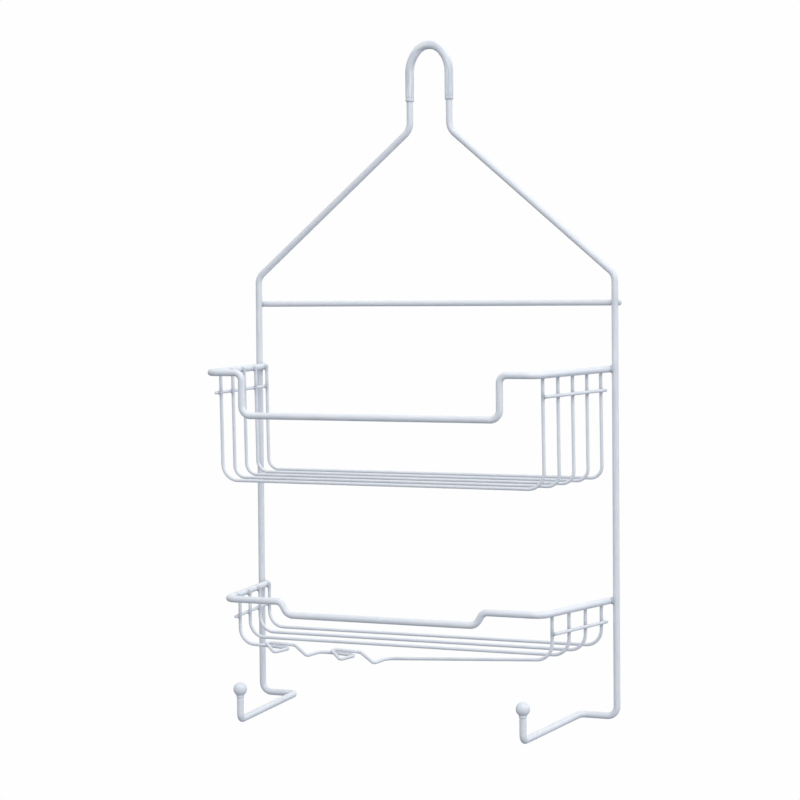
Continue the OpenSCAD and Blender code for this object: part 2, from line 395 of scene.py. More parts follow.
@dataclass(frozen=True)
class Wire:
    """A coated round wire with rounded tips.

    Args:
        route: Its centreline, tip to tip.
        radius: Its full coated radius, in mm.
        seed: Number that shifts its coat's waves.
        sides: Vertices in a ring.
        step: Longest ring spacing on a straight run, in mm.
        coat: How evenly the coat lies.
    """

    route: Route
    radius: float
    seed: int
    sides: int = 28
    step: float = 2.4
    coat: Coat = field(default_factory=Coat)

    def surface(self) -> Surface:
        """The wire's skin: a ring of the coat's radius carried along the centreline.

        Near a tip the radius is scaled by sin a at the distance r (1 - cos a) from the tip,
        which is a half ball.

        Returns:
            The closed surface.
        """
        line = self.route.points(self.step)
        s = ring_frame(line)[0]
        a = np.radians(TIP_ANGLES)
        tip = self.radius * (1 - np.cos(a))
        tip_length = self.radius * TIP_SHARE
        middle = s[(s > tip_length) & (s < s[-1] - tip_length)]
        places = np.concatenate([tip, middle, s[-1] - tip[::-1]])
        round_off = np.concatenate([np.sin(a), np.ones(len(middle)), np.sin(a[::-1])])
        resampled = np.stack([np.interp(places, s, line[:, k]) for k in range(3)], axis=1)
        _, _, first, second = ring_frame(resampled)
        angle = np.linspace(0, 2 * math.pi, self.sides, endpoint=False)[None, :]
        radius = self.coat.radius(self.radius, places[:, None], angle, self.seed)
        radius = radius * round_off[:, None]
        across = radius * np.cos(angle), radius * np.sin(angle)
        rings = resampled[:, None, :] + across[0][..., None] * first[:, None, :]
        rings = rings + across[1][..., None] * second[:, None, :]
        laid = np.stack([across[0], across[1], places[:, None] + 0 * angle], axis=-1)
        first_pole = line[0] + unit(line[1] - line[0]) * self.coat.settle
        last_pole = line[-1] + unit(line[-2] - line[-1]) * self.coat.settle
        return capped(rings, first_pole, last_pole, laid + (self.seed * CLOUD_SHIFT, 0, 0))


@dataclass(frozen=True)
class Weld:
    """The web of coat where one wire is welded across another.

    Args:
        place: Midpoint of the shallow overlap between the two wires.
        across: Unit direction from the second wire's centreline to the first's.
        along: Unit directions of the first and the second wire.
        radii: Radii of the first and the second wire, in mm.
        bite: Depth of the overlap, in mm.
        fill: Radius of the ball that, rolled round the crossing, leaves the web, in mm.
        tip: Direction in which the second wire soon ends, if it does.
        tip_loss: Share of the fill that is lost straight towards that end.
        tip_power: Power of the direction's cosine with which that loss fades.
        farthest: Greatest radius that a wire shows when it is seen along its run, in mm.
        rim_share: What is left of each rim's radius where it is sunk into its wire.
        rim_depth: How far each rim is sunk, in mm.
        pole_depth: Place of each pole inside its wire, as a share of the wire's radius.
        shade: The painted shade of the whole web.
    """

    place: np.ndarray
    across: np.ndarray
    along: tuple[np.ndarray, np.ndarray]
    radii: tuple[float, float]
    bite: float
    fill: float
    tip: Optional[np.ndarray] = None
    tip_loss: float = 0.84
    tip_power: float = 0.7
    farthest: float = 90.0
    rim_share: float = 0.9
    rim_depth: float = 0.25
    pole_depth: float = 0.8
    shade: float = 0.85

    @staticmethod
    def between(
        first: tuple[np.ndarray, np.ndarray],
        second: tuple[np.ndarray, np.ndarray],
        radii: tuple[float, float],
        fill: float,
        tip: Optional[Point] = None,
    ) -> "Weld":
        """The weld where two straight runs pass closest.

        With the lines p + s u and q + t v and w = p - q, the closest places are at
        s = (b e - d) / (1 - b^2) and t = (e - b d) / (1 - b^2), where b = u.v, d = u.w, e = v.w.

        Args:
            first: A point and direction of the first wire's run.
            second: A point and direction of the second wire's run.
            radii: Radii of the two wires.
            fill: Radius of the ball that leaves the web.
            tip: Direction in which the second wire soon ends.

        Returns:
            The weld.
        """
        (p, u), (q, v) = first, second
        w, b = p - q, float(u @ v)
        d, e = float(u @ w), float(v @ w)
        on_first = p + u * (b * e - d) / (1 - b * b)
        on_second = q + v * (e - b * d) / (1 - b * b)
        gap = float(np.linalg.norm(on_first - on_second))
        across = (on_first - on_second) / gap
        bite = radii[0] + radii[1] - gap
        place = on_second + across * (radii[1] - bite / 2)
        towards = None if tip is None else unit(np.array(tip))
        return Weld(place, across, (u, v), radii, bite, fill, towards)

    def surface(self, columns: int = 36, rows: int = 9) -> Surface:
        """The web as rings round the line between the two centrelines.

        Seen along a spoke, each wire is close to a circle of radius r / sin^2 of the angle between
        the spoke and the wire. The rolling ball touches both circles, so its centre (c, h) solves
        c^2 + (h - m)^2 = (R1 + f)^2 and c^2 + (h + n)^2 = (R2 + f)^2, with m and n the circles'
        centre distances. The web is the ball's near side between its two touching points.

        Args:
            columns: Vertices round the weld.
            rows: Rings between the two wires.

        Returns:
            The closed surface, its rims and poles sunk into the wires.
        """
        e1 = unit(self.along[0] - self.across * (self.along[0] @ self.across))
        e2 = np.cross(self.across, e1)
        angle = np.linspace(0, 2 * math.pi, columns, endpoint=False)
        spoke = np.cos(angle)[:, None] * e1 + np.sin(angle)[:, None] * e2
        seen = [
            r / np.maximum(1 - (spoke @ way) ** 2, r / self.farthest)
            for r, way in zip(self.radii, self.along)
        ]
        fill = np.full(columns, self.fill)
        if self.tip is not None:
            fill = fill * (1 - self.tip_loss * np.clip(spoke @ self.tip, 0, 1) ** self.tip_power)
        m, n = seen[0] - self.bite / 2, seen[1] - self.bite / 2
        reach = seen[0] + fill, seen[1] + fill
        h = (m**2 - n**2 - reach[0] ** 2 + reach[1] ** 2) / (2 * (m + n))
        least_square = 0.01  # keeps the ball's centre off the line between the wires
        c = np.sqrt(np.maximum(reach[0] ** 2 - (h - m) ** 2, least_square))
        low = np.arctan2(-n - h, -c) + 2 * math.pi
        high = np.arctan2(m - h, -c)
        mix = np.linspace(0, 1, rows)[:, None]
        turned = low + (high - low) * mix
        out, rise = c + fill * np.cos(turned), h + fill * np.sin(turned)
        out = np.vstack([out[:1] * self.rim_share, out, out[-1:] * self.rim_share])
        rise = np.vstack([rise[:1] - self.rim_depth, rise, rise[-1:] + self.rim_depth])
        rings = self.place + out[..., None] * spoke + rise[..., None] * self.across
        low_pole = self.place - self.across * self.radii[1] * self.pole_depth
        high_pole = self.place + self.across * self.radii[0] * self.pole_depth
        made = capped(rings, low_pole, high_pole, rings)
        # painted shade: the whole weld web is drawn darker, like the shadow round a weld
        made.painted_shade[:] = self.shade
        return made


# ---------------------------------------------------------------- finishes


class Graph:
    """A material's node tree, with short ways to add and join nodes."""

    def __init__(self, name: str) -> None:
        """Starts an empty tree with one Principled shader.

        Args:
            name: The material's name.
        """
        self.material = bpy.data.materials.new(name)
        self.material.use_nodes = True
        self.tree = self.material.node_tree
        self.tree.nodes.clear()
        self.shader = self.add("ShaderNodeBsdfPrincipled")
        out = self.add("ShaderNodeOutputMaterial")
        self.join(self.shader.outputs["BSDF"], out.inputs["Surface"])

    def add(self, kind: str, **settings: object) -> bpy.types.Node:
        """Adds a node.

        Args:
            kind: Blender's name for the node's type.
            settings: Node properties to set.

        Returns:
            The new node.
        """
        made = self.tree.nodes.new(kind)
        for key, value in settings.items():
            setattr(made, key, value)
        return made

    def join(self, out: bpy.types.NodeSocket, into: bpy.types.NodeSocket) -> None:
        """Joins an output to an input."""
        self.tree.links.new(out, into)

    def attribute(self, name: str, output: str) -> bpy.types.NodeSocket:
        """An output of the mesh attribute with this name."""
        return self.add("ShaderNodeAttribute", attribute_name=name).outputs[output]

    def noise(self, place: bpy.types.NodeSocket, scale: Point, detail: float) -> bpy.types.NodeSocket:
        """Noise over a place that is first stretched.

        Args:
            place: The coordinates to read.
            scale: How many cells per mm in each direction.
            detail: How many finer layers are added.

        Returns:
            The noise value, from 0 to 1.
        """
        spread = self.add("ShaderNodeMapping")
        spread.inputs["Scale"].default_value = scale
        self.join(place, spread.inputs["Vector"])
        made = self.add("ShaderNodeTexNoise")
        made.inputs["Scale"].default_value = 1.0
        made.inputs["Detail"].default_value = detail
        made.inputs["Roughness"].default_value = NOISE_ROUGHNESS
        self.join(spread.outputs["Vector"], made.inputs["Vector"])
        return made.outputs["Fac"]

    def ranged(self, value: bpy.types.NodeSocket, low: float, high: float) -> bpy.types.NodeSocket:
        """A value from the noise's usual span carried onto low to high.

        Args:
            value: The value to carry over.
            low: Result at the span's start.
            high: Result at the span's end.

        Returns:
            The result.
        """
        made = self.add("ShaderNodeMapRange", interpolation_type="SMOOTHSTEP")
        ends = (*NOISE_SPAN, low, high)
        for key, number in zip(("From Min", "From Max", "To Min", "To Max"), ends):
            made.inputs[key].default_value = number
        self.join(value, made.inputs["Value"])
        return made.outputs["Result"]

    def blend(
        self,
        share: bpy.types.NodeSocket,
        first: bpy.types.NodeSocket | Colour,
        second: bpy.types.NodeSocket | Colour,
    ) -> bpy.types.NodeSocket:
        """Two colours mixed by a share.

        Args:
            share: How much of the second colour, from 0 to 1.
            first: Colour or output at share 0.
            second: Colour or output at share 1.

        Returns:
            The mixed colour.
        """
        made = self.add("ShaderNodeMix", data_type="RGBA")
        self.join(share, made.inputs["Factor"])
        colour_in = [s for s in made.inputs if s.type == "RGBA"]
        for socket, value in zip(colour_in, (first, second)):
            if isinstance(value, tuple):
                socket.default_value = (*value, 1.0)
            else:
                self.join(value, socket)
        return next(s for s in made.outputs if s.type == "RGBA")

    def scaled(self, value: bpy.types.NodeSocket, factor: float) -> bpy.types.NodeSocket:
        """A value times a number.

        Args:
            value: The value.
            factor: The number.

        Returns:
            Their product.
        """
        made = self.add("ShaderNodeMath", operation="MULTIPLY")
        made.inputs[1].default_value = factor
        self.join(value, made.inputs[0])
        return made.outputs[0]

    def bumped(self, layers: Sequence[tuple[bpy.types.NodeSocket, float]]) -> None:
        """Puts bump layers on the shader, one over another.

        Args:
            layers: Pairs of a height from 0 to 1 and what a height of 1 measures, in mm.
        """
        before: Optional[bpy.types.NodeSocket] = None
        for height, depth in layers:
            made = self.add("ShaderNodeBump")
            made.inputs["Strength"].default_value = 1.0
            made.inputs["Distance"].default_value = depth * MM
            self.join(height, made.inputs["Height"])
            if before is not None:
                self.join(before, made.inputs["Normal"])
            before = made.outputs["Normal"]
        if before is not None:
            self.join(before, self.shader.inputs["Normal"])


@dataclass(frozen=True)
class DippedVinyl:
    """The glossy white coat of the wires, thicker where it pools at a weld, with shade painted greyer
    round each weld.

    Args:
        tone: Its usual colour.
        thin_tone: Its colour where it lies thin.
        weld_shade_tone: The colour of the painted shade round a weld.
        weld_shade_share: How much of that painted shade the vertex nearest a weld takes.
        roughness: Least and greatest roughness.
        gloss_ior: Index of refraction.
        gloss: Weight and roughness of the clear layer on top.
        clouds: Cells per mm of its thin places, across and along the wire.
        specks: Cells per mm of its orange peel.
        waves: Cells per mm of its slow waves.
        peel: Height of its fine orange peel, in mm.
        wave: Height of its slow waves, in mm.
    """

    tone: Colour = (0.86, 0.875, 0.905)
    thin_tone: Colour = (0.80, 0.822, 0.865)
    weld_shade_tone: Colour = (0.42, 0.45, 0.51)
    weld_shade_share: float = 0.72
    roughness: tuple[float, float] = (0.27, 0.40)
    gloss_ior: float = 1.46
    gloss: tuple[float, float] = (0.15, 0.12)
    clouds: Point = (0.35, 0.35, 0.09)
    specks: Point = (2.6, 2.6, 1.9)
    waves: Point = (0.5, 0.5, 0.22)
    peel: float = 0.012
    wave: float = 0.05

    def material(self) -> bpy.types.Material:
        """Builds the material.

        Returns:
            The finished material.
        """
        g = Graph("dipped_vinyl")
        laid = g.attribute("laid", "Vector")
        painted_shade = g.attribute("painted_shade", "Fac")
        cloud = g.ranged(g.noise(laid, self.clouds, detail=2.0), 0.0, 1.0)
        speck = g.noise(laid, self.specks, detail=3.0)
        body = g.blend(cloud, self.tone, self.thin_tone)
        # painted shade: the base colour turns greyer near the welds, where contact shadows fall
        weld_shaded = g.blend(g.scaled(painted_shade, self.weld_shade_share), body, self.weld_shade_tone)
        g.join(weld_shaded, g.shader.inputs["Base Color"])
        g.join(g.ranged(speck, *self.roughness), g.shader.inputs["Roughness"])
        g.shader.inputs["IOR"].default_value = self.gloss_ior
        g.shader.inputs["Coat Weight"].default_value = self.gloss[0]
        g.shader.inputs["Coat Roughness"].default_value = self.gloss[1]
        wave = g.noise(laid, self.waves, detail=1.0)
        g.bumped([(speck, self.peel), (wave, self.wave)])
        return g.material


@dataclass(frozen=True)
class CloudyTube:
    """The soft, slightly see-through vinyl of the loop's sleeve, drawn into faint streaks.

    Args:
        tone: Its usual colour.
        deep_tone: Its colour where the wire shows through, also the colour of the painted shade.
        deep_most: How much of that colour the densest cloud takes.
        groove_shade_share: How much of it the pinched rings and the ends take, as painted shade.
        roughness: Least and greatest roughness.
        gloss_ior: Index of refraction.
        milk: How much of the light goes through the skin.
        milk_reach: How far each colour of that light goes, as a share of the depth.
        milk_depth: That depth, in mm.
        clouds: Cells per mm of the clouds, across and along the tube.
        streaks: Cells per mm of the lengthwise streaks.
        grains: Cells per mm of the fine grain.
        streak: Height of the lengthwise streaks, in mm.
        grain: Height of the fine grain, in mm.
    """

    tone: Colour = (0.93, 0.945, 0.97)
    deep_tone: Colour = (0.66, 0.69, 0.75)
    deep_most: float = 0.9
    groove_shade_share: float = 0.6
    roughness: tuple[float, float] = (0.34, 0.52)
    gloss_ior: float = 1.5
    milk: float = 0.15
    milk_reach: Point = (0.7, 0.8, 1.0)
    milk_depth: float = 0.6
    clouds: Point = (0.55, 0.55, 0.05)
    streaks: Point = (1.5, 1.5, 0.06)
    grains: Point = (3.2, 3.2, 1.2)
    streak: float = 0.05
    grain: float = 0.008

    def material(self) -> bpy.types.Material:
        """Builds the material.

        Returns:
            The finished material.
        """
        g = Graph("cloudy_tube")
        laid = g.attribute("laid", "Vector")
        streaks = g.noise(laid, self.streaks, detail=3.0)
        cloud = g.ranged(g.noise(laid, self.clouds, detail=2.0), 0.0, self.deep_most)
        body = g.blend(cloud, self.tone, self.deep_tone)
        # painted shade: darker at the pinched rings and at the ends, where the grooves and lips fall
        # in shade
        edge = g.attribute("painted_shade", "Fac")
        pinched = g.blend(g.scaled(edge, self.groove_shade_share), body, self.deep_tone)
        g.join(pinched, g.shader.inputs["Base Color"])
        g.join(g.ranged(streaks, *self.roughness), g.shader.inputs["Roughness"])
        g.shader.inputs["IOR"].default_value = self.gloss_ior
        g.shader.inputs["Subsurface Weight"].default_value = self.milk
        g.shader.inputs["Subsurface Radius"].default_value = self.milk_reach
        g.shader.inputs["Subsurface Scale"].default_value = self.milk_depth * MM
        grain = g.noise(laid, self.grains, detail=2.0)
        g.bumped([(streaks, self.streak), (grain, self.grain)])
        return g.material


@dataclass(frozen=True)
class MouldedCap:
    """The smooth glossy plastic of the ball caps.

    Args:
        tone: Its usual colour.
        flow_tone: Its colour in the faint flow marks.
        roughness: Least and greatest roughness.
        gloss_ior: Index of refraction.
        flows: Cells per mm of the flow marks.
        grains: Cells per mm of the fine grain.
        grain: Height of the fine grain, in mm.
    """

    tone: Colour = (0.845, 0.865, 0.90)
    flow_tone: Colour = (0.79, 0.812, 0.855)
    roughness: tuple[float, float] = (0.22, 0.34)
    gloss_ior: float = 1.49
    flows: Point = (0.25, 0.25, 0.6)
    grains: Point = (2.2, 2.2, 2.2)
    grain: float = 0.01

    def material(self) -> bpy.types.Material:
        """Builds the material.

        Returns:
            The finished material.
        """
        g = Graph("moulded_cap")
        laid = g.attribute("laid", "Vector")
        flow = g.ranged(g.noise(laid, self.flows, detail=2.0), 0.0, 1.0)
        grain = g.noise(laid, self.grains, detail=3.0)
        g.join(g.blend(flow, self.tone, self.flow_tone), g.shader.inputs["Base Color"])
        g.join(g.ranged(grain, *self.roughness), g.shader.inputs["Roughness"])
        g.shader.inputs["IOR"].default_value = self.gloss_ior
        g.bumped([(grain, self.grain)])
        return g.material


# ---------------------------------------------------------------- pieces


@dataclass
class Workshop:
    """Turns surfaces into Blender pieces and keeps the finishes.

    Args:
        finishes: A material for each of the record's slots.
    """

    finishes: dict[Slot, bpy.types.Material]

    def piece(self, name: str, surface: Surface, slot: Slot, nodes: Iterable[str] = ()) -> None:
        """Makes one piece in metres, at the origin, riding on the caddy's one body.

        Args:
            name: The piece's name.
            surface: Its skin.
            slot: Its material slot.
            nodes: The CAD nodes that it stands for.
        """
        mesh = bpy.data.meshes.new(name)
        faces = [*surface.quads.tolist(), *surface.triangles.tolist()]
        mesh.from_pydata((surface.points * MM).tolist(), [], faces)
        mesh.polygons.foreach_set("use_smooth", np.ones(len(faces), bool))
        laid = mesh.attributes.new("laid", "FLOAT_VECTOR", "POINT")
        laid.data.foreach_set("vector", surface.laid.astype(np.float32).ravel())
        # the painted shade, read by the materials
        painted_shade = mesh.attributes.new("painted_shade", "FLOAT", "POINT")
        painted_shade.data.foreach_set("value", surface.painted_shade.astype(np.float32))
        mesh.materials.append(self.finishes[slot])
        mesh.update()
        made = bpy.data.objects.new(name, mesh)
        bpy.context.scene.collection.objects.link(made)
        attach(made, "root")
        if nodes:
            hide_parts(*nodes)
        log.info("%s: %d faces", name, len(faces))


@dataclass(frozen=True)
class MainFrame:
    """The main wire, with its hook loop, shoulders, uprights and lower hooks, and the crossbar.

    Args:
        wire_r: Radius of the coated main wire.
        crossbar_r: Radius of the coated crossbar.
        weld_bite: Depth that two welded wires sink into each other.
        width: Distance between the uprights' centrelines.
        height: Height from the loop's top centreline to the lower hooks' centreline.
        shoulder_drop: Drop to the shoulders from the loop's top centreline.
        crossbar_drop: Drop to the crossbar.
        crossbar_over: How far each end of the crossbar stands past its upright.
        loop_width: Distance between the neck legs' centrelines.
        loop_side_r: Bend radius of each side of the loop.
        loop_side_turn: Angle turned by each side bend, in degrees.
        crown_run: Short straight on either side of the crown's bend.
        neck_drop: Drop to the neck bends.
        sleeve_r: Outside radius of the sleeve, which sets the origin.
        hook_inward: Length of each hook's inward run.
        hook_splay: Further inward shift of each hook's point.
        hook_reach: Length of each hook from back to front.
        hook_rise: Height of each hook's ball centre above its run.
        wire_past_ball: How far the wire reaches past the ball's centre.
        upper_rim_drop: Drop to the upper basket's rim from the loop's top centreline.
        lower_rim_rise: Height of the lower basket's rim above the lower hooks.
        bends: Bend radii of the hook's point, turn and corner, the shoulder and the neck.
        weld_fill: Ball radius of the crossbar's welds.
        shade_reaches: Reach of the welds' painted shade on the main wire and on the crossbar.
    """

    wire_r: float = 2.5
    crossbar_r: float = 2.25
    weld_bite: float = 0.15
    width: float = 290.0
    height: float = 497.0
    shoulder_drop: float = 173.5
    crossbar_drop: float = 194.0
    crossbar_over: float = 1.2
    loop_width: float = 32.0
    loop_side_r: float = 24.0
    loop_side_turn: float = 40.0
    crown_run: float = 0.6
    neck_drop: float = 63.2
    sleeve_r: float = 3.3
    hook_inward: float = 28.0
    hook_splay: float = 7.0
    hook_reach: float = 104.5
    hook_rise: float = 22.5
    wire_past_ball: float = 1.2
    upper_rim_drop: float = 242.5
    lower_rim_rise: float = 85.0
    bends: tuple[float, float, float, float, float] = (4.5, 5.0, 7.5, 10.0, 12.0)
    weld_fill: float = 0.8
    shade_reaches: tuple[float, float] = (3.4, 3.2)

    @property
    def half(self) -> float:
        """Distance from the middle to an upright's centreline."""
        return self.width / 2

    @property
    def hook_z(self) -> float:
        """Height of the lower hooks' centreline."""
        return self.sleeve_r - self.height

    @property
    def crossbar_z(self) -> float:
        """Height of the crossbar's centreline."""
        return self.sleeve_r - self.crossbar_drop

    def ball(self, side: Side) -> Point:
        """Centre of the ball cap on one side."""
        x = self.half - self.hook_inward - self.hook_splay
        return (side.value * x, -self.hook_reach, self.hook_z + self.hook_rise)

    def crown(self) -> tuple[float, float, float]:
        """The loop's crown.

        The two side bends turn the legs towards each other by the side angle. The crown's bend
        radius is what is left of the half width after both, divided by the angle's cosine.

        Returns:
            The crown's bend radius, the height of its corner and the height of the side bends.
        """
        turn, half = math.radians(self.loop_side_turn), self.loop_width / 2
        left = half - self.loop_side_r * (1 - math.cos(turn)) - self.crown_run * math.sin(turn)
        radius = left / math.cos(turn)
        apex = self.sleeve_r + radius / math.sin(turn) - radius
        return radius, apex, apex - half / math.tan(turn)

    def route(self) -> Route:
        """The main wire's centreline.

        Returns:
            The route from the left ball over the loop to the right ball.
        """
        point_r, turn_r, corner_r, shoulder_r, neck_r = self.bends
        crown_r, apex_z, side_z = self.crown()
        ball_x, front, ball_z = self.ball(Side.LEFT)
        hook_x, loop_x = -(self.half - self.hook_inward), -self.loop_width / 2
        left = [
            (ball_x, front, ball_z + self.wire_past_ball),
            (ball_x, front, self.hook_z),
            (hook_x, 0.0, self.hook_z),
            (-self.half, 0.0, self.hook_z),
            (-self.half, 0.0, self.sleeve_r - self.shoulder_drop),
            (loop_x, 0.0, self.sleeve_r - self.neck_drop),
            (loop_x, 0.0, side_z),
        ]
        left_r = (0.0, point_r, turn_r, corner_r, shoulder_r, neck_r, self.loop_side_r)
        return Route(both_sides(left, [(0.0, 0.0, apex_z)]), (*left_r, crown_r, *reversed(left_r)))

    def crossbar_route(self) -> Route:
        """The crossbar's centreline.

        Returns:
            One straight run from left to right, just behind the uprights.
        """
        y = self.wire_r + self.crossbar_r - self.weld_bite
        reach = self.half + self.wire_r + self.crossbar_over
        return Route(((-reach, y, self.crossbar_z), (reach, y, self.crossbar_z)), (0.0, 0.0))

    def upright(self, side: Side) -> tuple[np.ndarray, np.ndarray]:
        """One upright as a point and a direction."""
        return np.array([side.value * self.half, 0.0, self.crossbar_z]), UP

    def welds(self) -> list[Weld]:
        """The welds of the crossbar to the two uprights.

        Returns:
            The left weld and the right one.
        """
        radii = (self.wire_r, self.crossbar_r)
        bar = self.crossbar_route().run(0)
        return [
            Weld.between(self.upright(side), bar, radii, self.weld_fill, (side.value, 0, 0))
            for side in Side
        ]

    def build(self, shop: Workshop, rim_welds: Sequence[Weld]) -> None:
        """Makes the main wire, the crossbar and their welds.

        Args:
            shop: Makes the pieces.
            rim_welds: The welds of the basket rims to the uprights.
        """
        welds = self.welds()
        main = Wire(self.route(), self.wire_r, seed=1, sides=32).surface()
        # painted shade near the welds, on the main wire here and on the crossbar below
        main.with_painted_shade([*welds, *rim_welds], self.shade_reaches[0])
        shop.piece("main_wire", main, Slot.WIRE, ["main_frame"])
        bar = Wire(self.crossbar_route(), self.crossbar_r, seed=2).surface()
        shop.piece("crossbar_wire", bar.with_painted_shade(welds, self.shade_reaches[1]), Slot.WIRE, ["crossbar"])
        webs = Surface.joined([w.surface() for w in welds])
        shop.piece("crossbar_welds", webs, Slot.WIRE)


@dataclass(frozen=True)
class HookSleeve:
    """The soft vinyl tube slipped over the hook loop.

    Args:
        frame: The main wire that it covers.
        drops: Drop to the left and the right end from the loop's top centreline.
        clear: Gap between its bore and the wire.
        groove: Depth and half length of the pinched ring near each end.
        groove_in: Distance of that ring from the end.
        wrinkle: Depth and pitch of the folds on the inside of the crown.
        wrinkle_reach: Distance from the crown at which the folds have faded to about a third.
        heart: Point inside the loop that the folded side faces.
        swell: Half depth of the slow swell, the length over which it turns by a radian, and
            the angle that it starts at, in radians.
        inset: How far the skin lies inside the sleeve's full radius.
        lip: Radius of the rounded edge at each end.
        marks: Half width of the painted shade at each pinched ring and at each end.
        spacing: Ring spacing on a straight run, and on a bend in degrees.
    """

    frame: MainFrame
    drops: tuple[float, float] = (42.0, 41.5)
    clear: float = 0.03
    groove: tuple[float, float] = (0.16, 0.42)
    groove_in: float = 2.6
    wrinkle: tuple[float, float] = (0.16, 2.1)
    wrinkle_reach: float = 9.0
    heart: Point = (0.0, 0.0, -14.0)
    swell: tuple[float, float, float] = (0.03, 5.3, 0.7)
    inset: float = 0.01
    lip: float = 0.22
    marks: tuple[float, float] = (0.8, 0.7)
    spacing: tuple[float, float] = (0.5, 1.6)

    def route(self) -> Route:
        """The sleeve's centreline.

        Returns:
            The route from its left end over the loop to its right end.
        """
        crown_r, apex_z, side_z = self.frame.crown()
        x, top, bend = self.frame.loop_width / 2, self.frame.sleeve_r, self.frame.loop_side_r
        ends = top - self.drops[0], top - self.drops[1]
        corners = ((-x, 0.0, ends[0]), (-x, 0.0, side_z), (0.0, 0.0, apex_z))
        corners = (*corners, (x, 0.0, side_z), (x, 0.0, ends[1]))
        return Route(corners, (0.0, bend, crown_r, bend, 0.0))

    def outer_radius(self, s: np.ndarray, length: float, inward: np.ndarray) -> np.ndarray:
        """Outside radius of the tube.

        The full radius loses a small inset, a bell-shaped groove near each end, a slow swell, a
        rounded lip and, on the inside of the crown, a row of folds (1 - cos) whose depth fades
        away from it.

        Args:
            s: Distance along the tube, rows by 1.
            length: The tube's length.
            inward: How far each place faces the inside of the loop, from 0 to 1.

        Returns:
            The radius, rows by columns.
        """
        near = np.minimum(s, length - s)
        depth, half = self.groove
        groove = depth * np.exp(-(((near - self.groove_in) / half) ** 2))
        height, length_on, start = self.swell
        swell = height * (1 + np.sin(s / length_on + start))
        past = np.clip(1 - near / self.lip, 0, 1)
        lip = self.lip * (1 - np.sqrt(1 - past**2))
        fold_depth, pitch = self.wrinkle
        fade = np.exp(-(((s - length / 2) / self.wrinkle_reach) ** 2)) * inward**2
        folds = fold_depth * 0.5 * (1 - np.cos(2 * math.pi * (s - length / 2) / pitch)) * fade
        return self.frame.sleeve_r - self.inset - groove - swell - lip - folds

    def surface(self, columns: int = 40) -> Surface:
        """The tube as one closed loop of rings: along its outside, then back along its bore.

        Args:
            columns: Vertices in a ring.

        Returns:
            The closed surface.
        """
        line = self.route().points(*self.spacing)
        s, ahead, first, second = ring_frame(line)
        angle = np.linspace(0, 2 * math.pi, columns, endpoint=False)[None, :, None]
        spoke = np.cos(angle) * first[:, None, :] + np.sin(angle) * second[:, None, :]
        to_heart = unit(np.array(self.heart) - line)
        inward = np.clip(np.einsum("ijk,ik->ij", spoke, to_heart), 0, 1)
        outer = self.outer_radius(s[:, None], float(s[-1]), inward)
        bore = np.full_like(outer, self.frame.wire_r + self.clear)
        skin = line[:, None, :] + outer[..., None] * spoke
        inside = line[:, None, :] + bore[..., None] * spoke
        rings = np.concatenate([skin, inside[::-1]])
        rows = len(rings)
        flat = np.stack([outer * np.cos(angle[..., 0]), outer * np.sin(angle[..., 0])], axis=-1)
        places = np.concatenate([flat, s[:, None, None] + 0 * flat[..., :1]], axis=-1)
        near = np.minimum(s, s[-1] - s)
        pinch_half, end_half = self.marks
        # painted shade at each pinched ring and at each end
        groove_shade = np.exp(-(((near - self.groove_in) / pinch_half) ** 2))
        shade = groove_shade + np.exp(-((near / end_half) ** 2))
        painted_shade = np.repeat(np.clip(shade, 0, 1)[:, None], columns, axis=1)
        return Surface(
            rings.reshape(-1, 3),
            ring_quads(rows, columns, closed=True),
            np.zeros((0, 3), int),
            np.concatenate([places, places[::-1]]).reshape(-1, 3),
            np.concatenate([painted_shade, painted_shade[::-1]]).ravel(),
        )

    def build(self, shop: Workshop) -> None:
        """Makes the sleeve."""
        shop.piece("loop_sleeve", self.surface(), Slot.SLEEVE, ["hook_sleeve"])


